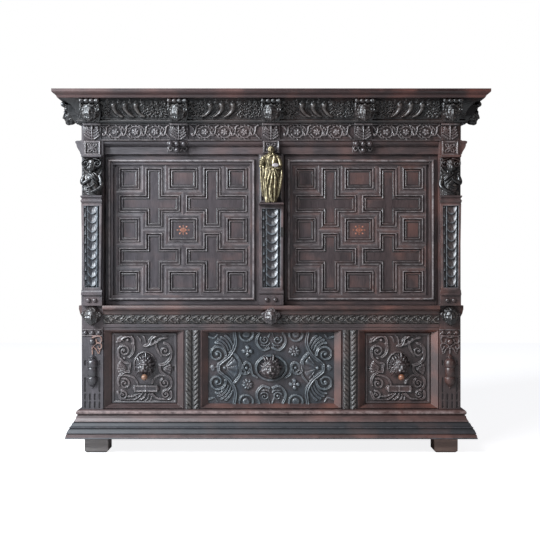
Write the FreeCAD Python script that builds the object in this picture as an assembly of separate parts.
import FreeCAD, Part
import math
import os
from FreeCAD import Vector

# A carved oak cupboard in two stages, in millimetres.
# +Z is up, the front faces -Y, and the origin lies on the floor under the middle of the crown.

# Overall outline
width = 1800.0
depth = 620.0
crown_overhang = 105.0
base_overhang = 60.0
torus_overhang = 16.0

# Heights of the storeys, from the floor up
foot_height = 67.0
base_height = 98.0
torus_height = 18.0
lower_opening_height = 332.0
fillet_height = 25.0
band_height = 40.0
middle_moulding_height = 38.0
door_height = 634.0
fascia_height = 34.0
architrave_height = 20.0
frieze_height = 71.0
necking_height = 20.0
cove_height = 75.0
crown_height = 34.0

# Carcase timbers
post_width = 90.0
post_depth = 80.0
frame_recess = 7.0
fascia_recess = 25.0
board_thickness = 18.0
top_board_thickness = 24.0
side_rail_thickness = 28.0
side_rail_recess = 5.0
panel_thickness = 12.0
muntin_width = 68.0
muntin_centre = 331.0
muntin_depth = 48.0

# Upper doors
door_recess = 40.0
door_thickness = 40.0
meeting_place = 55.0
stile_width = 32.0
door_rail_width = 40.0
pattern_shift = 6.0

# Lower doors and the panel between them
surround_side_width = 31.0
surround_bottom_width = 20.0
surround_top_width = 12.0
surround_depth = 22.0
lower_board_thickness = 20.0

# Clearances and the one overrun that serves all cuts
door_gap = 2.0
side_gap = 3.0
pin_clearance = 0.05
bolt_clearance = 0.3
seat_gap = 0.3
overrun = 1.0

# Pivot pins of the doors
pin_radius = 5.0
pin_length = 14.0
upper_pivot_inset = 24.0
upper_pivot_depth = 10.0
lower_pivot_inset = 14.0
lower_pivot_depth = 10.0
bolt_throw = 14.0

# Places worked out from the sizes above
case_half = width / 2 - crown_overhang
front_y = crown_overhang - depth / 2
back_y = depth / 2
post_inner = case_half - post_width
post_middle = case_half - post_width / 2
post_back_y = front_y + post_depth
frame_y = front_y + frame_recess
fascia_y = front_y + fascia_recess
side_outer = case_half - side_rail_recess
side_inner = side_outer - side_rail_thickness
torus_z = foot_height + base_height
sill_z = torus_z + torus_height
lintel_z = sill_z + lower_opening_height
band_z = lintel_z + fillet_height
moulding_z = band_z + band_height
floor_z = moulding_z + middle_moulding_height
door_z = floor_z + door_gap
door_top_z = door_z + door_height
fascia_z = door_top_z + door_gap
architrave_z = fascia_z + fascia_height
frieze_z = architrave_z + architrave_height
necking_z = frieze_z + frieze_height
cove_z = necking_z + necking_height
crown_z = cove_z + cove_height
top_z = crown_z + crown_height
top_board_z = top_z - top_board_thickness
door_y = front_y + door_recess
door_back_y = door_y + door_thickness
board_y = frame_y + surround_depth
board_back_y = board_y + lower_board_thickness
muntin_inner = muntin_centre - muntin_width / 2
muntin_outer = muntin_centre + muntin_width / 2
back_board_thickness = 14.0
back_board_y = back_y - side_rail_recess - back_board_thickness
back_board_z = sill_z - board_thickness

nodes = {}


def keep(name, *shapes):
    """Files one node: a single solid, or a group of separate like ones."""
    solids = [solid for shape in shapes for solid in shape.Solids]
    nodes[name] = solids[0] if len(solids) == 1 else Part.makeCompound(solids)


def block(x0, x1, y0, y1, z0, z1):
    """A squared piece of timber between two corners."""
    low = Vector(min(x0, x1), min(y0, y1), min(z0, z1))
    return Part.makeBox(abs(x1 - x0), abs(y1 - y0), abs(z1 - z0), low)


def across(shape):
    """The same piece on the other side of the cupboard."""
    return shape.mirror(Vector(0, 0, 0), Vector(1, 0, 0))


def both(shape):
    """A pair of pieces, left and right."""
    return [shape, across(shape)]


def outline(start, *steps):
    """Closed face from a start point; a step is the next corner, or a point on an arc and its end."""
    edges = []
    here = start
    for step in steps:
        if isinstance(step, tuple):
            edges.append(Part.Arc(here, step[0], step[1]).toShape())
            here = step[1]
        else:
            edges.append(Part.LineSegment(here, step).toShape())
            here = step
    if here.distanceToPoint(start) > seat_gap:
        edges.append(Part.LineSegment(here, start).toShape())
    return Part.Face(Part.Wire(edges))


def stack(loops, ring=False):
    """Solid whose flat faces join one loop of corners to the next, capped or closed into a ring."""
    pairs = list(zip(loops, loops[1:]))
    if ring:
        pairs.append((loops[-1], loops[0]))
    faces = []
    for low, high in pairs:
        for i in range(len(low)):
            j = (i + 1) % len(low)
            corners = [low[i], low[j], high[j], high[i], low[i]]
            faces.append(Part.Face(Part.makePolygon(corners)))
    if not ring:
        for loop in (loops[0], loops[-1]):
            faces.append(Part.Face(Part.makePolygon(loop + loop[:1])))
    solid = Part.Solid(Part.Shell(faces))
    if solid.Volume < 0:
        solid.reverse()
    return solid


def drawn_in(corners, step):
    """Loop of flat corners (u, v), anticlockwise, moved in by a step with its corners mitred."""
    moved = []
    for i in range(len(corners)):
        before = corners[i - 1]
        here = corners[i]
        after = corners[(i + 1) % len(corners)]
        ahead = (math.copysign(1, after[0] - here[0]) if after[0] != here[0] else 0,
                 math.copysign(1, after[1] - here[1]) if after[1] != here[1] else 0)
        behind = (math.copysign(1, here[0] - before[0]) if here[0] != before[0] else 0,
                  math.copysign(1, here[1] - before[1]) if here[1] != before[1] else 0)
        moved.append((here[0] - (ahead[1] + behind[1]) * step,
                      here[1] + (ahead[0] + behind[0]) * step))
    return moved


def rectangle(u0, u1, v0, v1):
    """Corners of an upright rectangle, anticlockwise."""
    return [(u0, v0), (u1, v0), (u1, v1), (u0, v1)]


def upright(corners, y):
    """Loop of corners (x, z) stood up at one depth."""
    return [Vector(u, y, v) for u, v in corners]


def relief(corners, section, ground_y):
    """Piece raised from a ground: each step of its section is an inset and a height above it."""
    loops = [upright(drawn_in(corners, inset), ground_y - height) for inset, height in section]
    return stack(loops)


head_sides = 8
head_rows = 4
bead_sides = 6
bead_rows = 2


def rounded(centre, half_x, half_y, half_z, sides=head_sides, rows=head_rows):
    """Rounded form blocked out in flats, as a carver leaves it: rings of an ellipsoid."""
    loops = []
    for row in range(1, rows + 1):
        tilt = math.pi * (row / (rows + 1) - 1 / 2)
        ring = []
        for side in range(sides):
            turn = 2 * math.pi * (side + 1 / 2) / sides
            ring.append(centre + Vector(half_x * math.cos(tilt) * math.cos(turn),
                                        half_y * math.cos(tilt) * math.sin(turn),
                                        half_z * math.sin(tilt)))
        loops.append(ring)
    return stack(loops)


def turned(points, centre, forwards=False, sides=bead_sides):
    """Turned piece in flats, from (radius, height) points, about an upright axis or one that points forwards."""
    loops = []
    for radius, height in points:
        ring = []
        for side in range(sides):
            turn = 2 * math.pi * (side + 1 / 2) / sides
            across_axis = radius * math.sin(turn)
            step = Vector(0, -height, across_axis) if forwards else Vector(0, across_axis, height)
            ring.append(centre + Vector(radius * math.cos(turn), 0, 0) + step)
        loops.append(ring)
    return stack(loops)


def run(profile, x0, x1):
    """Moulding along the front: profile of (depth from the case front outwards, height)."""
    steps = [tuple(at_front(p, x0) for p in step) if isinstance(step[0], tuple) else at_front(step, x0)
             for step in profile]
    return outline(steps[0], *steps[1:]).extrude(Vector(x1 - x0, 0, 0))


def at_front(point, x):
    """Point of a moulding's profile on the front."""
    return Vector(x, front_y - point[0], point[1])


def side_run(profile, y0, y1):
    """The same moulding along the right side, from one depth to another."""
    steps = [tuple(at_side(p, y0) for p in step) if isinstance(step[0], tuple) else at_side(step, y0)
             for step in profile]
    return outline(steps[0], *steps[1:]).extrude(Vector(0, y1 - y0, 0))


def at_side(point, y):
    """Point of a moulding's profile on the right side."""
    return Vector(case_half + point[0], y, point[1])


def mitred(profile, reach):
    """Moulding round the front and both sides, mitred at the corners."""
    corner_in = Vector(case_half - post_width, front_y + post_width, 0)
    corner_out = Vector(case_half + reach, front_y - reach, 0)
    tall = Vector(0, 0, top_z)
    front_wedge = Part.Face(Part.makePolygon([
        Vector(-corner_in.x, corner_in.y, 0), Vector(-corner_out.x, corner_out.y, 0), corner_out, corner_in,
        Vector(-corner_in.x, corner_in.y, 0)])).extrude(tall)
    side_wedge = Part.Face(Part.makePolygon([
        corner_in, corner_out, Vector(corner_out.x, back_y, 0), Vector(corner_in.x, back_y, 0),
        corner_in])).extrude(tall)
    front = run(profile, -case_half - reach, case_half + reach).common(front_wedge)
    side = side_run(profile, front_y - reach, back_y).common(side_wedge)
    return [front] + both(side)


# Feet: four squared oak blocks under the posts

foot_width = 98.0
foot_inset = 12.0
foot_chamfer = 8.0


def feet():
    """Block feet, their lower edges knocked off."""
    outer = case_half - foot_inset
    made = []
    for y0 in (front_y, back_y - foot_width):
        foot = block(outer - foot_width, outer, y0, y0 + foot_width, 0, foot_height)
        low_edges = [edge for edge in foot.Edges if edge.BoundBox.ZMax < foot_chamfer]
        made += both(foot.makeChamfer(foot_chamfer, low_edges))
    return made


# Base: a splayed, stepped moulding with a torus on top

base_step_shares = (0.16, 0.42, 0.68)
base_step_in = 5.0


def base_profile():
    """Splayed face with three set-back steps, then the torus."""
    rise = base_height
    points = [(0, foot_height), (base_overhang, foot_height)]
    for share in base_step_shares:
        tip_here = base_overhang - (base_overhang - torus_overhang) * share
        points.append((tip_here + base_step_in / 2, foot_height + rise * share))
        points.append((tip_here - base_step_in / 2, foot_height + rise * share))
    points.append((torus_overhang - base_step_in, torus_z))
    crest = (torus_overhang + base_step_in, torus_z + torus_height / 2)
    return points + [(crest, (torus_overhang - base_step_in, sill_z)), (0, sill_z)]


# Carcase: posts, rails, boards and framed sides

flute_width = 9.0
flute_depth = 6.0
flute_pitch = 20.0
flute_count = 4
lower_flute_rise = 4.0
lower_flute_length = 29.0
upper_flute_rise = 38.0
upper_flute_length = 28.0
side_flute_rise = 71.0
side_flute_length = 62.0
short_flute_rise = 183.0
short_flute_length = 23.0


def flute(x, z, length):
    """Upright slot in the face of a post, its ends cut to a blunt point."""
    half = flute_width / 2
    corners = [(x - half, z + half), (x - half / 2, z), (x + half / 2, z), (x + half, z + half),
               (x + half, z + length - half), (x + half / 2, z + length), (x - half / 2, z + length),
               (x - half, z + length - half)]
    return stack([upright(corners, front_y - overrun), upright(corners, front_y + flute_depth)])


def front_post():
    """Right front post, full height, with two rows of flutes at its foot and two more up each edge."""
    post = block(post_inner, case_half, front_y, post_back_y, foot_height, top_board_z)
    outer = flute_count - 1
    rows = ((lower_flute_rise, lower_flute_length, 1), (upper_flute_rise, upper_flute_length, 1),
            (side_flute_rise, side_flute_length, outer), (short_flute_rise, short_flute_length, outer))
    for rise, length, every in rows:
        for i in range(0, flute_count, every):
            x = post_middle + (i - (flute_count - 1) / 2) * flute_pitch
            post = post.cut(flute(x, sill_z + rise, length))
    return post


def back_post():
    """Right back post, plain, rebated for the back boards."""
    post = block(post_inner, case_half, back_y - post_depth, back_y, foot_height, top_board_z)
    rebate = block(post_inner - overrun, post_inner + board_thickness, back_board_y, back_y + overrun,
                   back_board_z, top_board_z + overrun)
    return post.cut(rebate)


def case_rails():
    """Rails of both sides and of the back, between the posts."""
    rails = []
    levels = ((foot_height, sill_z), (lintel_z, floor_z), (fascia_z, top_board_z))
    for z0, z1 in levels:
        rails += both(block(side_inner, side_outer, post_back_y, back_y - post_depth, z0, z1))
    rails.append(block(-post_inner, post_inner, back_y - side_rail_recess - side_rail_thickness,
                       back_y - side_rail_recess, foot_height, back_board_z))
    return rails


field_tongue = 3.0
field_bevel = 28.0
field_height = 9.0


def side_panel(z0, z1):
    """Right side panel, raised and fielded like those of joined oak chests."""
    y0 = post_back_y
    y1 = back_y - post_depth
    centre_x = side_outer - side_rail_thickness / 2
    loops = []
    for inset, height in ((0, 0), (0, field_tongue), (field_bevel, field_height)):
        loop = drawn_in(rectangle(y0, y1, z0, z1), inset)
        loops.append([Vector(centre_x + height, u, v) for u, v in loop])
    loops[0] = [Vector(centre_x - panel_thickness / 2, u, v) for u, v in rectangle(y0, y1, z0, z1)]
    return stack(loops)


back_board_count = 8
back_board_gap = 1.0


def back_boards():
    """Upright boards nailed into the rebates of the back."""
    reach = post_inner + board_thickness
    pitch = 2 * reach / back_board_count
    made = []
    for i in range(back_board_count):
        x0 = -reach + i * pitch
        made.append(block(x0, x0 + pitch - back_board_gap, back_board_y, back_board_y + back_board_thickness,
                          back_board_z, top_board_z))
    made[-1] = block(reach - pitch, reach, back_board_y, back_board_y + back_board_thickness,
                     back_board_z, top_board_z)
    return made


def floor_board(z1, y0):
    """Board across the case, notched round the posts, with its top at a level."""
    board = block(-side_inner, side_inner, y0, back_board_y, z1 - board_thickness, z1)
    for post in both(block(post_inner, case_half, front_y, post_back_y, 0, top_z)):
        board = board.cut(post)
    for post in both(block(post_inner, case_half, back_y - post_depth, back_y, 0, top_z)):
        board = board.cut(post)
    return board


shelf_height = 318.0
shelf_set_back = 22.0
bearer_height = 30.0
bearer_width = 20.0
shelf_y = door_back_y + shelf_set_back
shelf_z = floor_z + shelf_height


def shelf_bearers():
    """Bearers housed between the front and back posts, under the ends of the shelf."""
    low = shelf_z - board_thickness - bearer_height
    return both(block(side_inner - bearer_width, side_inner, post_back_y, back_y - post_depth,
                      low, low + bearer_height))


# Pivots: holes in the rails above and below each door

upper_pivot_x = post_inner - side_gap - upper_pivot_inset
upper_pivot_y = door_y + upper_pivot_depth
lower_edge = post_inner - surround_side_width - side_gap
lower_pivot_x = lower_edge - lower_pivot_inset
lower_pivot_y = board_y + lower_pivot_depth
lower_board_z = sill_z + surround_bottom_width + door_gap
lower_board_top = lintel_z - surround_top_width - door_gap


def pivot_hole(x, y, z, direction):
    """Hole for a pivot pin, from a face at z into the rail."""
    base = Vector(x, y, z - direction * overrun)
    length = pin_length + door_gap + overrun
    return Part.makeCylinder(pin_radius + pin_clearance, length, base, Vector(0, 0, direction))


def pin(x, y, z, direction, reach):
    """Iron pivot pin that stands out of a door's end by a reach."""
    return Part.makeCylinder(pin_radius, reach, Vector(x, y, z), Vector(0, 0, direction))


def bottom_rail():
    """Front rail under the lower doors, bored for their pins."""
    rail = block(-post_inner, post_inner, frame_y, post_back_y, foot_height, sill_z)
    for x in (-lower_pivot_x, lower_pivot_x):
        rail = rail.cut(pivot_hole(x, lower_pivot_y, sill_z, -1))
    return rail


def middle_rail():
    """Front rail between the storeys, bored for the pins of both pairs of doors."""
    rail = block(-post_inner, post_inner, frame_y, post_back_y, lintel_z, floor_z)
    for x in (-lower_pivot_x, lower_pivot_x):
        rail = rail.cut(pivot_hole(x, lower_pivot_y, lintel_z, 1))
    for x in (-upper_pivot_x, upper_pivot_x):
        rail = rail.cut(pivot_hole(x, upper_pivot_y, floor_z, -1))
    return rail


bolt_rod_radius = 5.0


def fascia_rail():
    """Plain rail over the upper doors, bored for their pins and for the right leaf's bolt."""
    rail = block(-post_inner, post_inner, fascia_y, post_back_y, fascia_z, frieze_z)
    for x in (-upper_pivot_x, upper_pivot_x):
        rail = rail.cut(pivot_hole(x, upper_pivot_y, fascia_z, 1))
    return rail


def cornice_rail():
    """Rail behind the frieze and the cove."""
    return block(-post_inner, post_inner, front_y, front_y + muntin_depth, frieze_z, top_board_z)


# Entablature: architrave, frieze, corner blocks, drops, cove and crown

architrave_out = 20.0
architrave_nose = 8.0
frieze_thickness = 8.0
frieze_block_width = 75.0
frieze_block_thickness = 16.0
rosette_width = 70.0
rosette_thickness = 12.0
inner_mask_place = 387.0
mask_places = (-post_middle, -inner_mask_place, 0, inner_mask_place, post_middle)
rosette_drop = 10.0
crown_tip = 12.0
crown_fillet = 10.0
cove_reach = 80.0
cove_out_share = 0.04
cove_rise_share = 0.74
cove_cuts = 6


def architrave():
    """Ovolo and fillet below the frieze: one length between the posts, one on each side."""
    base = -fascia_recess
    middle_z = architrave_z + architrave_height / 2
    out = -fascia_recess + architrave_out
    front_shape = [(base, architrave_z), (base + architrave_nose, architrave_z),
                   ((out - architrave_nose / 2, middle_z - architrave_nose / 2), (out, middle_z)),
                   (out, frieze_z), (base, frieze_z)]
    side_shape = [(0, architrave_z), (architrave_nose, architrave_z),
                  ((architrave_out - architrave_nose / 2, middle_z - architrave_nose / 2),
                   (architrave_out, middle_z)),
                  (architrave_out, frieze_z), (0, frieze_z)]
    return [run(front_shape, -post_inner, post_inner)] + both(side_run(side_shape, front_y, back_y))


def frieze_panels():
    """Four carved boards between the blocks on the front, and one on each side."""
    made = []
    half = frieze_block_width / 2
    for left, right in zip(mask_places, mask_places[1:]):
        made.append(block(left + half, right - half, front_y - frieze_thickness, front_y,
                          frieze_z, necking_z))
    side = block(case_half, case_half + frieze_thickness, front_y, back_y, frieze_z, necking_z)
    return made + both(side)


def frieze_blocks():
    """Acanthus blocks: a block with a swelling face under each cornice mask."""
    made = []
    half = frieze_block_width / 2
    mid_z = (frieze_z + necking_z) / 2
    swell = (frieze_block_thickness, mid_z)
    shape = [(0, frieze_z), (frieze_thickness, frieze_z),
             (swell, (frieze_thickness, necking_z)), (0, necking_z)]
    for x in mask_places:
        made.append(run(shape, x - half, x + half))
    return made


def rosette_blocks():
    """Square carved blocks on the two posts and in the middle, below the acanthus blocks."""
    section = ((0, 0), (0, rosette_thickness / 2), (rosette_thickness / 2, rosette_thickness))
    half = rosette_width / 2
    face = rectangle(post_middle - half, post_middle + half, fascia_z - rosette_drop, frieze_z)
    return both(relief(face, section, front_y))


centre_block_out = 12.0


def centre_block():
    """Block on the plain rail behind the head of the gilt figure."""
    half = rosette_width / 2
    return block(-half, half, fascia_y - architrave_out - centre_block_out + architrave_nose,
                 fascia_y - architrave_out, fascia_z, frieze_z)


drop_radius = 12.0
drop_pitch = 30.0


def drop_ornaments():
    """Pendants of three turned knobs in a row with one below, over the architrave."""
    made = []
    for x in (-inner_mask_place, inner_mask_place):
        face = fascia_y - architrave_out
        row_z = frieze_z - drop_radius
        plate = block(x - drop_pitch - drop_radius, x + drop_pitch + drop_radius, face - seat_gap - drop_radius / 3,
                      face, row_z - drop_radius / 2, frieze_z)
        stem = block(x - drop_radius / 3, x + drop_radius / 3, face - drop_radius, face, row_z - drop_pitch, row_z)
        shape = plate.fuse(stem)
        for turn, drop in ((-1, 0), (0, 0), (1, 0), (0, drop_pitch)):
            knob = Vector(x + turn * drop_pitch, face - drop_radius / 2, row_z - drop)
            shape = shape.fuse(rounded(knob, drop_radius, drop_radius, drop_radius, bead_sides, bead_rows))
        made.append(shape.cut(block(x - width, x + width, face, back_y, 0, top_z)))
    return made


def cove_profile():
    """Fillet, then a hollow that sweeps out to the crown."""
    start = Vector(frieze_block_thickness, cove_z, 0)
    pull = Vector(frieze_block_thickness + cove_reach * cove_out_share, cove_z + cove_height * cove_rise_share, 0)
    end = Vector(cove_reach, crown_z, 0)
    hollow = []
    for i in range(cove_cuts + 1):
        share = i / cove_cuts
        point = start * (1 - share) ** 2 + pull * (2 * share * (1 - share)) + end * share ** 2
        hollow.append((point.x, point.y))
    return [(0, necking_z), (frieze_block_thickness, necking_z)] + hollow + [(0, crown_z)]


def crown_profile():
    """Fillet, quarter hollow and thick edge board."""
    edge_z = top_z - crown_tip
    return [(0, crown_z), (cove_reach + crown_fillet / 2, crown_z),
            (cove_reach + crown_fillet, crown_z + crown_fillet),
            (crown_overhang - crown_fillet / 2, edge_z - crown_fillet / 2),
            (crown_overhang, edge_z), (crown_overhang, top_z), (0, top_z)]


# Masks: carved heads on the cornice, the middle band and the doors

mask_width = 84.0
mask_out = 30.0
bead_radius = 11.0
bead_count = 3
face_share = 0.36
face_height_share = 0.46
nose_share = 0.12


def mask_head(centre, half_x, half_y, half_z):
    """Blocked-out head with a wedge for its nose, for the carver to finish."""
    head = rounded(centre, half_x, half_y, half_z)
    reach = half_x * nose_share
    top = centre + Vector(0, -half_y, half_z / 4)
    low_z = centre.z - half_z / 4
    tip_y = top.y - reach
    x0 = centre.x - reach
    wedge = Part.Face(Part.makePolygon([
        Vector(x0, centre.y, top.z), Vector(x0, top.y, top.z), Vector(x0, tip_y, low_z),
        Vector(x0, centre.y, low_z), Vector(x0, centre.y, top.z)]))
    return head.fuse(wedge.extrude(Vector(2 * reach, 0, 0)))


def cornice_mask(cove):
    """Head under a roll of turned beads, its back cut to the hollow of the cove."""
    height = crown_z - necking_z - 2 * bead_radius
    head_z = necking_z + height / 2
    head_y = front_y - frieze_block_thickness - mask_out
    face = front_y - frieze_block_thickness
    shape = mask_head(Vector(0, head_y, head_z), mask_width * face_share, mask_out,
                      height * face_height_share + bead_radius / 2)
    half = mask_width * face_share / 2
    shape = shape.fuse(block(-half, half, head_y, face, necking_z + bead_radius, crown_z - bead_radius))
    pitch = mask_width / bead_count
    bead_y = head_y - bead_radius / 2
    for i in range(bead_count):
        bead = Vector((i - (bead_count - 1) / 2) * pitch, bead_y, crown_z - bead_radius)
        shape = shape.fuse(rounded(bead, pitch / 2, bead_radius, bead_radius, bead_sides, bead_rows))
    roof = block(-mask_width / 2, mask_width / 2, bead_y, face, crown_z - 2 * bead_radius, crown_z)
    return shape.fuse(roof).cut(cove).removeSplitter()


def cornice_masks(cove):
    """Five masks on the front and two on each side, over the posts."""
    made = []
    master = cornice_mask(cove)
    for x in mask_places:
        copy = master.copy()
        copy.translate(Vector(x, 0, 0))
        made.append(copy)
    turned_copy = master.copy()
    turned_copy.rotate(Vector(0, 0, 0), Vector(0, 0, 1), 90)
    turned_copy.translate(Vector(case_half + front_y, 0, 0))
    for y in (front_y + post_width / 2, back_y - post_width / 2):
        copy = turned_copy.copy()
        copy.translate(Vector(0, y, 0))
        made += both(copy)
    return made


# Middle of the case: stepped fillets, carved band, moulding and three masks

fillet_steps = 2
fillet_step = 4.0
band_out = 6.0
moulding_out = 25.0
moulding_hollow_share = 0.3
side_moulding_out = 12.0
middle_mask_half = 36.0
middle_mask_out = 26.0


def fillet_moulding():
    """Two plain steps over the lower openings."""
    rise = fillet_height / fillet_steps
    points = [(-frame_recess, lintel_z)]
    for i in range(fillet_steps):
        out = (i + 1) * fillet_step - frame_recess
        points.append((out, lintel_z + i * rise))
        points.append((out, lintel_z + (i + 1) * rise))
    points.append((-frame_recess, band_z))
    return run(points, -post_inner, post_inner)


def carved_band():
    """Board for the running leaf band, its face a little rounded."""
    middle = (band_out, (band_z + moulding_z) / 2)
    shape = [(-frame_recess, band_z), (0, band_z), (middle, (0, moulding_z)), (-frame_recess, moulding_z)]
    return run(shape, -post_inner, post_inner)


def middle_mouldings():
    """Projecting moulding under the upper doors, and a plainer one along each side."""
    lip = middle_moulding_height / 5
    shape = [(-frame_recess, moulding_z), (0, moulding_z),
             ((moulding_out * moulding_hollow_share, moulding_z + lip * 2), (moulding_out - fillet_step, floor_z - 2 * lip)),
             (moulding_out, floor_z - 2 * lip), (moulding_out, floor_z - lip),
             (moulding_out - fillet_step, floor_z), (-frame_recess, floor_z)]
    side = [(0, moulding_z), (side_moulding_out / 2, moulding_z),
            (side_moulding_out, floor_z - 2 * lip), (side_moulding_out, floor_z), (0, floor_z)]
    return [run(shape, -post_inner, post_inner)] + both(side_run(side, front_y, back_y))


def middle_mask(x, ground_y, half):
    """Mask in the round on the band, cut flat at its back."""
    centre_z = (band_z + floor_z) / 2 - fillet_step
    centre = Vector(x, ground_y - middle_mask_out / 2, centre_z)
    shape = mask_head(centre, half, middle_mask_out, (floor_z - band_z) / 2 - fillet_step)
    return shape.cut(block(-width, width, ground_y, back_y, 0, top_z))


def middle_masks():
    """Masks on the two posts and one in the middle of the band."""
    masks = both(middle_mask(post_middle, front_y, middle_mask_half))
    centre = middle_mask(0, front_y, middle_mask_half - fillet_step)
    for taken in (carved_band(), middle_mouldings()[0]):
        centre = centre.cut(taken)
    return masks + [centre]


# Lower storey: muntins, splayed surrounds, centre panel and its lion

leaf_strip_width = 16.0
leaf_strip_height = 5.0
lion_radius = 48.0
lion_out = 34.0
ring_width = 9.0
ring_height = 10.0
ring_sides = 24


def lower_muntins():
    """Upright between two openings, with two carved strips along its face."""
    muntin = block(muntin_inner, muntin_outer, frame_y, frame_y + muntin_depth, sill_z, lintel_z)
    quarter = muntin_width / 4
    for x in (muntin_centre - quarter, muntin_centre + quarter):
        half = leaf_strip_width / 2
        strip = block(x - half, x + half, frame_y - leaf_strip_height, frame_y, sill_z, lintel_z)
        muntin = muntin.fuse(strip)
    return both(muntin.removeSplitter())


def surround(x0, x1):
    """Splayed frame that lines an opening, four lengths mitred together."""
    outer = rectangle(x0, x1, sill_z, lintel_z)
    inner = rectangle(x0 + surround_side_width, x1 - surround_side_width,
                      sill_z + surround_bottom_width, lintel_z - surround_top_width)
    lip = rectangle(x0 + fillet_step, x1 - fillet_step, sill_z + fillet_step, lintel_z - fillet_step)
    loops = [upright(outer, board_y), upright(outer, frame_y), upright(lip, frame_y - fillet_step),
             upright(inner, board_y - fillet_step), upright(inner, board_y)]
    return stack(loops, ring=True)


def lower_surrounds():
    """Surrounds of the two doors and of the fixed panel."""
    return [surround(-muntin_inner, muntin_inner)] + both(surround(muntin_outer, post_inner))


def centre_panel():
    """Fixed panel in front of the case, with the ring that frames the lion."""
    panel = block(-muntin_inner, muntin_inner, board_y, board_y + panel_thickness, sill_z, lintel_z)
    centre_z = (sill_z + lintel_z) / 2
    base = Vector(0, board_y, centre_z)
    outer = lion_radius + ring_width
    disc = turned([(outer, 0), (outer, ring_height)], base, True, ring_sides)
    hole = turned([(lion_radius, 0), (lion_radius, ring_height + overrun)], base, True, ring_sides)
    return panel.fuse(disc.cut(hole)).removeSplitter()


def centre_lion_mask():
    """Lion's head with its mane, pinned to the middle of the panel."""
    centre_z = (sill_z + lintel_z) / 2
    mane = turned([(lion_radius - ring_width, 0), (lion_radius / 2, lion_out / 2)],
                  Vector(0, board_y, centre_z), True, ring_sides)
    head = mask_head(Vector(0, board_y - lion_out / 2, centre_z), lion_radius / 2, lion_out, lion_radius * 2 / 3)
    return mane.fuse(head.cut(block(-width, width, board_y, back_y, 0, top_z)))


# Posts of the lower storey: a band of studs, strapwork and a turned pendant on each

stud_radius = 9.0
stud_out = 8.0
stud_pitch = 27.0
stud_count = 3
stud_drop = 11.0
stud_z = lintel_z - stud_drop
strap_half = 40.0
strap_height = 66.0
strap_thickness = 6.0
strap_gap = 5.0
strap_top_z = stud_z - stud_radius - strap_gap
strap_hole = 7.0
strap_shares = ((0, 0.14), (0.4, 0), (0.95, 0.08), (1.0, 0.34), (0.72, 0.5), (0.96, 0.64), (0.9, 0.95),
                (0.6, 1.0), (0.34, 0.74), (0, 0.86))
hole_out_share = 0.66
hole_drop_share = 0.26
boss_radius = 14.0
boss_out = 13.0
boss_share = 0.36
pendant_radius = 22.0
pendant_height = 145.0
pendant_z = strap_top_z - strap_height - 2 * strap_gap - pendant_height
pendant_shares = ((0.2, 0), (0.7, 0.1), (1.0, 0.27), (1.0, 0.34), (0.85, 0.36), (0.85, 0.6),
                  (1.0, 0.63), (1.0, 0.82), (0.4, 0.88), (0.3, 1.0))


def stud(x, y, z, radius, out):
    """Low turned stud with a flat head."""
    return turned([(radius, 0), (radius, out / 2), (radius / 2, out)], Vector(x, y, z), True, head_sides)


def strapwork():
    """Sawn scroll plate with two piercings, and a cut boss on its middle."""
    right = [(post_middle + x * strap_half, strap_top_z - z * strap_height) for x, z in strap_shares]
    left = [(2 * post_middle - x, z) for x, z in reversed(right[1:-1])]
    face = front_y - strap_thickness
    plate = stack([upright(right + left, face), upright(right + left, front_y)])
    boss_z = strap_top_z - strap_height * boss_share
    hole_z = strap_top_z - strap_height * hole_drop_share
    for side in (-1, 1):
        x = post_middle + side * strap_half * hole_out_share
        corners = [(x - strap_hole, hole_z), (x, hole_z - strap_hole), (x + strap_hole, hole_z),
                   (x, hole_z + strap_hole)]
        plate = plate.cut(stack([upright(corners, face - overrun), upright(corners, front_y + overrun)]))
    return plate.fuse(stud(post_middle, front_y, boss_z, boss_radius, boss_out))


def post_ornaments():
    """Studs, pierced strap scroll and split-turned pendant planted on each lower post."""
    made = []
    for i in range(stud_count):
        x = post_middle + (i - (stud_count - 1) / 2) * stud_pitch
        made += both(stud(x, front_y, stud_z, stud_radius, stud_out))
    points = [(radius * pendant_radius, height * pendant_height) for radius, height in pendant_shares]
    pendant = turned(points, Vector(post_middle, front_y, pendant_z), False, head_sides)
    made += both(pendant.cut(block(0, width, front_y, back_y, 0, top_z)))
    return made + both(strapwork())


# Herms of the upper storey: base with studs, tapered scale pilaster, half figure with volutes

herm_width = 86.0
shaft_top_width = 86.0
shaft_foot_width = 76.0
shaft_out = 26.0
shaft_foot_out = 20.0
herm_block_height = 42.0
herm_base_height = 22.0
herm_ledge_height = 16.0
ledge_out = 8.0
bust_height = 163.0
abacus_height = 6.0
cap_z = fascia_z - rosette_drop - abacus_height
bust_z = cap_z - bust_height
shaft_z = door_z + herm_block_height + herm_base_height
shaft_top_z = bust_z - 2 * herm_ledge_height
rim_width = 12.0
panel_sink = 8.0
scale_count = 9
scale_tilt = 6.0
scale_thickness = 6.0
volute_radius = 19.0
volute_length = 34.0
volute_sides = 16
scale_cuts = 5
chest_rise_share = 0.3
chest_width_share = 0.8
chest_height_share = 0.36
head_rise_share = 0.72
head_out_share = 0.8
head_width_share = 0.36
head_height_share = 0.2
arm_rise_share = 0.2
arm_reach_share = 0.7
arm_slope_share = 0.3


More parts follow.
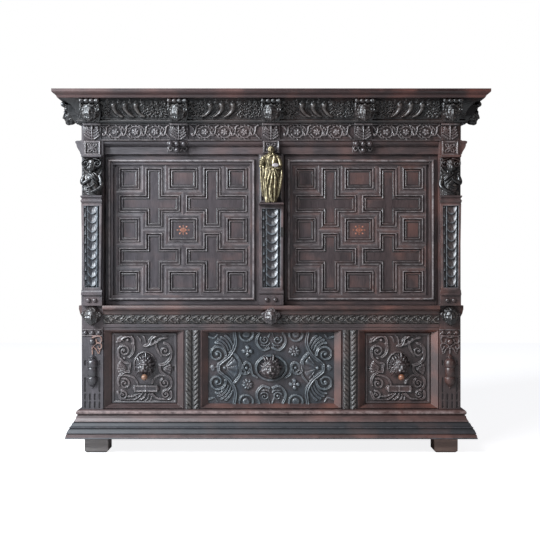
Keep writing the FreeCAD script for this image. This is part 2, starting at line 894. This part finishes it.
def tapered_shaft(x, back, foot_width_here, top_width_here, foot_out, top_out, z0, z1):
    """Shaft that widens upwards, with a sunk panel down its face."""
    loops = []
    sunk = []
    for half, out, z in ((foot_width_here / 2, foot_out, z0), (top_width_here / 2, top_out, z1)):
        loops.append([Vector(x - half, back - out, z), Vector(x + half, back - out, z),
                      Vector(x + half, back, z), Vector(x - half, back, z)])
    slope = (top_out - foot_out) / (z1 - z0)
    for half, z in ((foot_width_here / 2 - rim_width, z0 + rim_width), (top_width_here / 2 - rim_width, z1 - rim_width)):
        out = foot_out + slope * (z - z0)
        front = back - out - overrun
        floor = back - out + panel_sink
        sunk.append([Vector(x - half, front, z), Vector(x + half, front, z),
                     Vector(x + half, floor, z), Vector(x - half, floor, z)])
    return stack(loops).cut(stack(sunk))


def scale(x, y, z, half, length):
    """One overlapping scale: a plate with a round lower end that stands out at its foot."""
    corners = [(x - half, z + length)]
    for i in range(scale_cuts + 1):
        turn = math.pi * (1 + i / scale_cuts)
        corners.append((x + half * math.cos(turn), z + half + half * math.sin(turn)))
    corners.append((x + half, z + length))
    plate = stack([upright(corners, y), upright(corners, y + scale_thickness)])
    plate.rotate(Vector(x, y + scale_thickness, z + length), Vector(1, 0, 0), -scale_tilt)
    return plate


def scaled_shaft(x, back, foot_width_here, top_width_here, foot_out, top_out, z0, z1, count):
    """Tapered shaft with a column of overlapping scales in its panel."""
    shaft = tapered_shaft(x, back, foot_width_here, top_width_here, foot_out, top_out, z0, z1)
    pitch = (z1 - z0 - 2 * rim_width) / count
    for i in range(count):
        z = z0 + rim_width + i * pitch
        share = (z - z0) / (z1 - z0)
        half = (foot_width_here + (top_width_here - foot_width_here) * share) / 2 - rim_width
        out = foot_out + (top_out - foot_out) * share
        length = min(pitch + half, z1 - rim_width - z)
        plate = scale(x, back - out + panel_sink - scale_thickness, z, half, length)
        shaft = shaft.fuse(plate.common(block(x - half, x + half, back - out - panel_sink, back - out / 2,
                                              z, z1 - rim_width)))
    return shaft.removeSplitter()


def herm_shafts():
    """Scale pilasters on the two front posts."""
    shaft = scaled_shaft(post_middle, front_y, shaft_foot_width, shaft_top_width, shaft_foot_out, shaft_out,
                         shaft_z, shaft_top_z, scale_count)
    return both(shaft)


def herm_bases():
    """Studded block and moulded base under each shaft, and the stepped ledge above it."""
    half = herm_width / 2
    base_z = door_z + herm_block_height
    pieces = block(post_middle - half, post_middle + half, front_y - shaft_foot_out, front_y, floor_z, base_z)
    for side in (-1, 1):
        centre_x = post_middle + side * stud_pitch / 2
        pieces = pieces.fuse(stud(centre_x, front_y - shaft_foot_out, (floor_z + base_z) / 2, stud_radius, stud_out))
    base_shape = [(0, base_z), (shaft_foot_out + ledge_out, base_z),
                  (shaft_foot_out + ledge_out, base_z + herm_base_height / 3),
                  ((shaft_foot_out + ledge_out / 2, base_z + herm_base_height / 2), (shaft_foot_out, shaft_z)),
                  (0, shaft_z)]
    foot = run(base_shape, post_middle - half, post_middle + half)
    return both(pieces) + both(foot)


def herm_busts():
    """Stepped ledge, half figure with crossed arms, and the scrolled capital over its head."""
    x = post_middle
    half = herm_width / 2
    ledge_shape = [(0, shaft_top_z), (shaft_out, shaft_top_z), (shaft_out + ledge_out, shaft_top_z + herm_ledge_height),
                   (shaft_out + ledge_out, bust_z), (0, bust_z)]
    ledge = run(ledge_shape, x - half, x + half)
    chest = rounded(Vector(x, front_y - shaft_out / 3, bust_z + bust_height * chest_rise_share),
                    half * chest_width_share, shaft_out, bust_height * chest_height_share)
    head = mask_head(Vector(x, front_y - shaft_out * head_out_share, bust_z + bust_height * head_rise_share),
                     half * head_width_share, shaft_out * head_out_share, bust_height * head_height_share)
    arm_reach = half * arm_reach_share
    arm_z = bust_z + bust_height * arm_rise_share
    arm = turned([(volute_radius / 2, 0), (volute_radius / 2, 2 * arm_reach)], Vector(0, 0, 0))
    arm.rotate(Vector(0, 0, 0), Vector(0, 1, 0), 90 - math.degrees(math.atan(arm_slope_share)))
    arm.translate(Vector(x - arm_reach, front_y - shaft_out, arm_z))
    abacus = block(x - half, x + half, front_y - shaft_out, front_y, cap_z, cap_z + abacus_height)
    figure = ledge.fuse(chest).fuse(head).fuse(arm).fuse(abacus)
    for side in (-1, 1):
        base = Vector(x + side * (half - volute_radius), front_y, cap_z - volute_radius)
        drum = [(volute_radius, 0), (volute_radius, volute_length)]
        figure = figure.fuse(turned(drum, base, True, volute_sides))
    backing = block(x - arm_reach, x + arm_reach, front_y - shaft_out / 4, front_y, bust_z, cap_z)
    figure = figure.fuse(backing).cut(block(0, width, front_y, back_y, 0, top_z))
    return both(figure)


# Upper doors: framed leaves with geometric mitred mouldings planted on their panels

strip_width = 28.0
centre_half_u = 60.0
centre_half_v = 49.0
arm_width = 70.0
border_width = 22.0
border_height = 10.0
border_shares = ((0, 0), (0, 0.8), (0.27, 1.0), (0.64, 0.8), (0.82, 0.2), (1.0, 0.2), (1.0, 0))
tile_moulding_width = 17.0
tile_height = 11.0
tile_ridge_share = 0.4
tile_shares = ((0, 0.1), (0.18, 1.0), (0.42, 0.38), (0.84, 0.46), (1.0, 0.1))
panel_recess = 14.0
rail_lap = 10.0
leaf_edge = post_inner - side_gap
leaf_inner = meeting_place + side_gap


def leaf_frame(x0, x1):
    """Two stiles and two rails, rebated at the back for the panel."""
    rebate = block(x0 + stile_width - rail_lap, x1 - stile_width + rail_lap, door_y + panel_recess, door_back_y,
                   door_z + door_rail_width - rail_lap, door_top_z - door_rail_width + rail_lap)
    stiles = [block(x0, x0 + stile_width, door_y, door_back_y, door_z, door_top_z),
              block(x1 - stile_width, x1, door_y, door_back_y, door_z, door_top_z)]
    rails = [block(x0 + stile_width, x1 - stile_width, door_y, door_back_y, door_z, door_z + door_rail_width),
             block(x0 + stile_width, x1 - stile_width, door_y, door_back_y, door_top_z - door_rail_width, door_top_z)]
    return [piece.cut(rebate) for piece in stiles + rails]


def leaf_panel(x0, x1):
    """Flat panel let into the rebate of its frame."""
    return block(x0 + stile_width - rail_lap, x1 - stile_width + rail_lap, door_y + panel_recess,
                 door_y + panel_recess + panel_thickness,
                 door_z + door_rail_width - rail_lap, door_top_z - door_rail_width + rail_lap)


def flipped(corners, side_u, side_v, centre):
    """Figure mirrored into a quarter of the pattern, kept anticlockwise, and moved to its centre."""
    placed = [(centre[0] + side_u * u, centre[1] + side_v * v) for u, v in corners]
    return placed if side_u * side_v > 0 else placed[::-1]


def leaf_pattern(x0, x1):
    """Mitred figures of the right leaf: rectangles, corner squares and four crosses."""
    frame_half = (x1 - x0) / 2
    centre = ((x0 + x1) / 2 - pattern_shift, (door_z + door_top_z) / 2)
    half_strip = strip_width / 2
    reach_u = frame_half - stile_width - half_strip - pattern_shift
    reach_v = door_height / 2 - door_rail_width - half_strip
    arm_u = centre_half_u + strip_width
    arm_v = centre_half_v + strip_width
    corner_u = arm_u + arm_width + strip_width
    corner_v = arm_v + arm_width + strip_width
    cross = [(half_strip, arm_v), (arm_u, arm_v), (arm_u, half_strip), (arm_u + arm_width, half_strip),
             (arm_u + arm_width, arm_v), (reach_u, arm_v), (reach_u, arm_v + arm_width),
             (arm_u + arm_width, arm_v + arm_width), (arm_u + arm_width, reach_v), (arm_u, reach_v),
             (arm_u, arm_v + arm_width), (half_strip, arm_v + arm_width)]
    square = rectangle(corner_u, reach_u, corner_v, reach_v)
    figures = [flipped(rectangle(-centre_half_u, centre_half_u, -centre_half_v, centre_half_v), 1, 1, centre)]
    for side in (-1, 1):
        upper = rectangle(-centre_half_u, centre_half_u, corner_v, reach_v)
        beside = rectangle(corner_u, reach_u, -centre_half_v, centre_half_v)
        figures.append(flipped(upper, 1, side, centre))
        figures.append(flipped(beside, side, 1, centre))
        for other in (-1, 1):
            figures.append(flipped(cross, side, other, centre))
            figures.append(flipped(square, side, other, centre))
    ground = door_y + panel_recess
    section = [(-half_strip, 0), (-half_strip, tile_height * tile_ridge_share)]
    section += [(inset * tile_moulding_width, height * tile_height) for inset, height in tile_shares]
    return [relief(figure, section, ground) for figure in figures]


def leaf_border(x0, x1):
    """Mitred moulding planted round the inside of a leaf's frame."""
    edge_u = stile_width - border_width
    edge_v = door_rail_width - border_width
    corners = rectangle(x0 + edge_u, x1 - edge_u, door_z + edge_v, door_top_z - edge_v)
    loops = [upright(drawn_in(corners, inset * border_width), door_y - height * border_height)
             for inset, height in border_shares]
    return stack(loops, ring=True)


def right_leaf_pins():
    """Iron pivot pins at the outer corners of the right leaf."""
    reach = door_gap + pin_length
    return [pin(upper_pivot_x, upper_pivot_y, door_top_z, 1, reach),
            pin(upper_pivot_x, upper_pivot_y, door_z, -1, reach)]


# Closing pilaster of the left leaf, with its ledge and the gilt figure

pilaster_half = 51.0
pilaster_foot_half = 48.0
pilaster_out = 46.0
pilaster_foot_out = 42.0
pilaster_block_height = 44.0
pilaster_base_height = 18.0
pilaster_scales = 10
niche_height = 207.0
ledge_z = door_top_z - niche_height
ledge_height = 11.0
niche_out = 35.0
figure_height = 234.0
figure_half = 30.0
figure_depth_share = 0.8
robe_shares = ((0.86, 0), (0.72, 0.12), (0.86, 0.42), (1.0, 0.68), (0.74, 0.80), (0.3, 0.9))
head_share = 0.075
book_radius = 15.0
book_thickness = 8.0
book_out_share = 0.7
sleeve_radius = 8.0


def closing_pilaster():
    """Studded block, base, tapered scale shaft, ledge and the plain block behind the figure."""
    block_z = door_z + pilaster_block_height
    foot_z = block_z + pilaster_base_height
    half = pilaster_half
    shape = block(-half, half, door_y - pilaster_foot_out, door_y, door_z, block_z)
    for side in (-1, 1):
        x = side * stud_pitch * 2 / 3
        shape = shape.fuse(stud(x, door_y - pilaster_foot_out, (door_z + block_z) / 2, stud_radius, stud_out))
    shape = shape.fuse(block(-half, half, door_y - pilaster_foot_out - ledge_out, door_y, block_z, foot_z))
    shaft = scaled_shaft(0, door_y, pilaster_foot_half * 2, half * 2, pilaster_foot_out, pilaster_out,
                         foot_z, ledge_z - ledge_height, pilaster_scales)
    ledge = block(-half, half, door_y - niche_out - 2 * figure_half * figure_depth_share, door_y,
                  ledge_z - ledge_height, ledge_z)
    niche = block(-half, half, door_y - niche_out, door_y, ledge_z, door_top_z)
    cover_hole = Part.makeCylinder(cover_pin_radius + pin_clearance, cover_pin_length + overrun,
                                   Vector(cover_x, door_y - pilaster_out - overrun, cover_pin_z), Vector(0, 1, 0))
    return shape.fuse(shaft).fuse(ledge).fuse(niche).cut(cover_hole).cut(upper_keyhole()).removeSplitter()


cover_x = pilaster_half - rim_width / 2
cover_drop = 105.0
cover_pin_z = ledge_z - cover_drop
cover_pin_radius = 2.0
cover_pin_length = 8.0
cover_half = 5.5
cover_length = 36.0
cover_thickness = 3.0
keyhole_radius = 4.0
keyhole_share = 0.6
lock_z = cover_pin_z - cover_length * keyhole_share


def upper_keyhole():
    """Keyhole behind the swinging cover, through the pilaster and the stile."""
    front = door_y - pilaster_out - overrun
    return Part.makeCylinder(keyhole_radius, door_back_y - front, Vector(cover_x, front, lock_z), Vector(0, 1, 0))


def keyhole_cover():
    """Drop-shaped cover hanging from its pin on the rim of the pilaster."""
    y = door_y - pilaster_out - seat_gap - cover_thickness
    top = cover_pin_z + cover_half
    low = cover_pin_z - cover_length
    face = outline(Vector(cover_x - cover_half, y, cover_pin_z),
                   (Vector(cover_x, y, top), Vector(cover_x + cover_half, y, cover_pin_z)),
                   Vector(cover_x + cover_half, y, low + cover_half),
                   (Vector(cover_x, y, low), Vector(cover_x - cover_half, y, low + cover_half)),
                   Vector(cover_x - cover_half, y, cover_pin_z))
    plate = face.extrude(Vector(0, cover_thickness, 0))
    peg = Part.makeCylinder(cover_pin_radius, cover_thickness + cover_pin_length,
                            Vector(cover_x, y, cover_pin_z), Vector(0, 1, 0))
    return plate.fuse(peg)


def robed_figure():
    """Gilt bronze figure in a long robe, standing on the pilaster's ledge with a book on its arm."""
    y = door_y - niche_out - figure_half * figure_depth_share
    sides = head_sides
    loops = []
    for radius, height in robe_shares:
        ring = []
        for side in range(sides):
            turn = 2 * math.pi * (side + 1 / 2) / sides
            ring.append(Vector(figure_half * radius * math.cos(turn),
                               y + figure_half * figure_depth_share * radius * math.sin(turn),
                               ledge_z + figure_height * height))
        loops.append(ring)
    robe = stack(loops)
    head_half = figure_height * head_share
    head = rounded(Vector(0, y, ledge_z + figure_height - head_half), head_half * figure_depth_share,
                   head_half * figure_depth_share, head_half)
    shoulder_z = ledge_z + figure_height * robe_shares[3][1]
    sleeve = turned([(sleeve_radius, 0), (sleeve_radius, 2 * figure_half)], Vector(0, 0, 0))
    sleeve.rotate(Vector(0, 0, 0), Vector(0, 1, 0), 90)
    sleeve.translate(Vector(-figure_half, y - figure_half / 2, shoulder_z))
    book = turned([(book_radius, 0), (book_radius, book_thickness)],
                  Vector(figure_half / 2, y - figure_half * book_out_share, shoulder_z + book_radius), True, head_sides)
    return robe.fuse(head).fuse(sleeve).fuse(book)


# Iron: lock cases, their bolts, the keeper and the bolt of the right leaf

lock_width = 56.0
lock_height = 60.0
lock_depth = 20.0
bolt_height = 16.0
bolt_width = 10.0
keeper_width = 10.0
stop_thickness = 10.0
stop_lap = 8.0
lower_lock_z = (sill_z + lintel_z) / 2 + door_gap
rod_length = 150.0
knob_length = 12.0


def lock_case(x0, direction, y, z, stand_off):
    """Iron box on a door's back, slotted for its bolt; its mouth looks along the direction."""
    case = block(x0, x0 - direction * lock_width, y, y + lock_depth, z - lock_height / 2, z + lock_height / 2)
    half = bolt_height / 2 + bolt_clearance
    slot = block(x0 + direction * overrun, x0 - direction * (lock_width - keeper_width),
                 y + stand_off - bolt_clearance, y + stand_off + bolt_width + bolt_clearance, z - half, z + half)
    return case.cut(slot)


def lock_bolt(x0, direction, y, z, stand_off):
    """Square bolt, shown drawn back into its case."""
    tail = x0 - direction * (lock_width - keeper_width - bolt_throw)
    return block(x0, tail, y + stand_off, y + stand_off + bolt_width, z - bolt_height / 2, z + bolt_height / 2)


upper_lock_x = meeting_place - side_gap
upper_stand_off = (lock_depth - bolt_width) / 2
lower_lock_x = muntin_outer + surround_side_width + side_gap + stop_lap + side_gap
lower_stand_off = stop_thickness + door_gap


def keeper():
    """Iron staple on the back of the right leaf that takes the bolt of the left leaf's lock."""
    x0 = leaf_inner + side_gap
    half = bolt_height / 2 + bolt_clearance
    staple = block(x0, x0 + keeper_width, door_back_y, door_back_y + lock_depth,
                   lock_z - lock_height / 2, lock_z + lock_height / 2)
    slot = block(x0 - overrun, x0 + keeper_width + overrun, door_back_y + upper_stand_off - bolt_clearance,
                 door_back_y + upper_stand_off + bolt_width + bolt_clearance, lock_z - half, lock_z + half)
    return staple.cut(slot)


rod_x = leaf_inner + 2 * keeper_width
rod_y = door_back_y + bolt_width
rod_top = door_top_z - door_gap


def rod_guides():
    """Two iron eyes on the back of the right leaf that guide its bolt."""
    made = []
    for z in (rod_top - rod_length + keeper_width, rod_top - 3 * keeper_width):
        eye = block(rod_x - keeper_width, rod_x + keeper_width, door_back_y, door_back_y + lock_depth,
                    z, z + keeper_width)
        hole = Part.makeCylinder(bolt_rod_radius + pin_clearance, keeper_width + 2 * overrun,
                                 Vector(rod_x, rod_y, z - overrun))
        made.append(eye.cut(hole))
    return made


def right_leaf_bolt():
    """Round bolt that slides up behind the rail, with a knob to draw it by."""
    rod = Part.makeCylinder(bolt_rod_radius, rod_length, Vector(rod_x, rod_y, rod_top - rod_length))
    knob = Part.makeCylinder(bolt_rod_radius / 2, knob_length, Vector(rod_x, rod_y, rod_top - rod_length / 2),
                             Vector(0, 1, 0))
    return rod.fuse(knob)


def door_stops():
    """Strips that the doors close against: over the upper pair, and beside each lower door."""
    inset = 2 * lock_width
    upper = block(inset, post_inner - inset, door_back_y, door_back_y + stop_thickness,
                  door_top_z - stop_lap, frieze_z)
    lower = block(muntin_outer, lower_free_edge + stop_lap, board_back_y, board_back_y + stop_thickness,
                  sill_z, lintel_z)
    return both(upper) + both(lower)


# Lower doors: one carved board each, with a beast mask

beast_radius = 30.0
beast_out = 38.0
ball_radius = 10.0
cartouche_width = 96.0
cartouche_height = 26.0
cartouche_out = 8.0
cartouche_rise_share = 1.8
mask_rise = 14.0
keyhole_inset = 12.0
lower_free_edge = muntin_outer + surround_side_width + side_gap


def lower_board():
    """Right lower door: a thick board with its upright frame of relief and a small bar under the mask."""
    board = block(lower_free_edge, lower_edge, board_y, board_back_y, lower_board_z, lower_board_top)
    middle = (lower_free_edge + lower_edge) / 2
    low_z = lower_board_z + cartouche_height * cartouche_rise_share
    bar = block(middle - cartouche_width / 2, middle + cartouche_width / 2, board_y - cartouche_out, board_y,
                low_z, low_z + cartouche_height)
    keyhole = Part.makeCylinder(keyhole_radius, lower_board_thickness + 2 * overrun,
                                Vector(lower_free_edge + keyhole_inset, board_y - overrun, lower_lock_z),
                                Vector(0, 1, 0))
    return board.fuse(bar).cut(keyhole).removeSplitter()


def lower_mask():
    """Beast's head with a ball in its mouth, glued and nailed to the board."""
    middle = (lower_free_edge + lower_edge) / 2
    centre = Vector(middle, board_y - beast_out / 3, (lower_board_z + lower_board_top) / 2 + mask_rise)
    head = mask_head(centre, beast_radius, beast_out, beast_radius * 5 / 3)
    ball = rounded(Vector(middle, board_y - beast_out, centre.z - beast_radius * 4 / 3),
                   ball_radius, ball_radius, ball_radius)
    neck = block(middle - ball_radius, middle + ball_radius, board_y - beast_out, board_y,
                 centre.z - beast_radius * 3 / 2, centre.z)
    return head.fuse(ball).fuse(neck).cut(block(0, width, board_y, back_y, 0, top_z))


def lower_pins():
    """Iron pivot pins at the outer corners of the right lower door."""
    return [pin(lower_pivot_x, lower_pivot_y, lower_board_top, 1, lintel_z - lower_board_top + pin_length),
            pin(lower_pivot_x, lower_pivot_y, lower_board_z, -1, lower_board_z - sill_z + pin_length)]


def build():
    """Puts every piece in its node."""
    cove = mitred(cove_profile(), cove_reach)
    crown = mitred(crown_profile(), crown_overhang)
    cove_front_and_side = cove[0].fuse(cove[1]).fuse(cove[2])
    keep("feet", *feet())
    keep("base_mouldings", *mitred(base_profile(), base_overhang))
    keep("front_posts", *both(front_post()))
    keep("back_posts", *both(back_post()))
    keep("case_rails", *case_rails())
    keep("side_panels", *both(side_panel(sill_z, lintel_z)), *both(side_panel(floor_z, fascia_z)))
    keep("back_boards", *back_boards())
    keep("bottom_rail", bottom_rail())
    keep("middle_rail", middle_rail())
    keep("fascia_rail", fascia_rail())
    keep("cornice_rail", cornice_rail())
    keep("bottom_board", floor_board(sill_z, post_back_y))
    keep("middle_board", floor_board(floor_z, post_back_y))
    keep("upper_shelf", floor_board(shelf_z, shelf_y))
    keep("shelf_bearers", *shelf_bearers())
    keep("top_board", block(-case_half, case_half, front_y, back_y, top_board_z, top_z))
    keep("door_stops", *door_stops())
    keep("architrave", *architrave())
    keep("frieze_panels", *frieze_panels())
    keep("frieze_blocks", *frieze_blocks())
    keep("rosette_blocks", *rosette_blocks(), centre_block())
    keep("drop_ornaments", *drop_ornaments())
    keep("cornice_cove", *cove)
    keep("crown_moulding", *crown)
    keep("cornice_masks", *cornice_masks(cove_front_and_side))
    keep("fillet_moulding", fillet_moulding())
    keep("carved_band", carved_band())
    keep("middle_mouldings", *middle_mouldings())
    keep("middle_masks", *middle_masks())
    keep("lower_muntins", *lower_muntins())
    keep("lower_surrounds", *lower_surrounds())
    keep("centre_panel", centre_panel())
    keep("centre_lion_mask", centre_lion_mask())
    keep("post_ornaments", *post_ornaments())
    keep("herm_busts", *herm_busts())
    keep("herm_shafts", *herm_shafts())
    keep("herm_bases", *herm_bases())
    frame = leaf_frame(leaf_inner, leaf_edge)
    pattern = leaf_pattern(leaf_inner, leaf_edge)
    panel = leaf_panel(leaf_inner, leaf_edge)
    border = leaf_border(leaf_inner, leaf_edge)
    closing_stile = block(-leaf_inner, meeting_place, door_y, door_back_y, door_z, door_top_z)
    keep("right_leaf_frame", *frame)
    keep("right_leaf_panel", panel)
    keep("right_leaf_border", border)
    keep("right_leaf_mouldings", *pattern)
    keep("right_leaf_iron", *right_leaf_pins(), keeper(), *rod_guides())
    keep("right_leaf_bolt", right_leaf_bolt())
    keep("left_leaf_frame", *[across(piece) for piece in frame], closing_stile.cut(upper_keyhole()))
    keep("left_leaf_panel", across(panel))
    keep("left_leaf_border", across(border))
    keep("left_leaf_mouldings", *[across(piece) for piece in pattern])
    keep("left_leaf_iron", *[across(piece) for piece in right_leaf_pins()],
         lock_case(upper_lock_x, 1, door_back_y, lock_z, upper_stand_off))
    keep("upper_lock_bolt", lock_bolt(upper_lock_x, 1, door_back_y, lock_z, upper_stand_off))
    keep("closing_pilaster", closing_pilaster())
    keep("keyhole_cover", keyhole_cover())
    keep("robed_figure", robed_figure())
    case = lock_case(lower_lock_x, -1, board_back_y, lower_lock_z, lower_stand_off)
    bolt = lock_bolt(lower_lock_x, -1, board_back_y, lower_lock_z, lower_stand_off)
    right_pieces = {"board": [lower_board()], "mask": [lower_mask()], "iron": lower_pins() + [case], "bolt": [bolt]}
    for name, pieces in right_pieces.items():
        keep("lower_right_" + name, *pieces)
        keep("lower_left_" + name, *[across(piece) for piece in pieces])


build()
os.makedirs("parts", exist_ok=True)
for name, shape in nodes.items():
    shape.exportStep("parts/" + name + ".step")
print(len(nodes), "nodes")
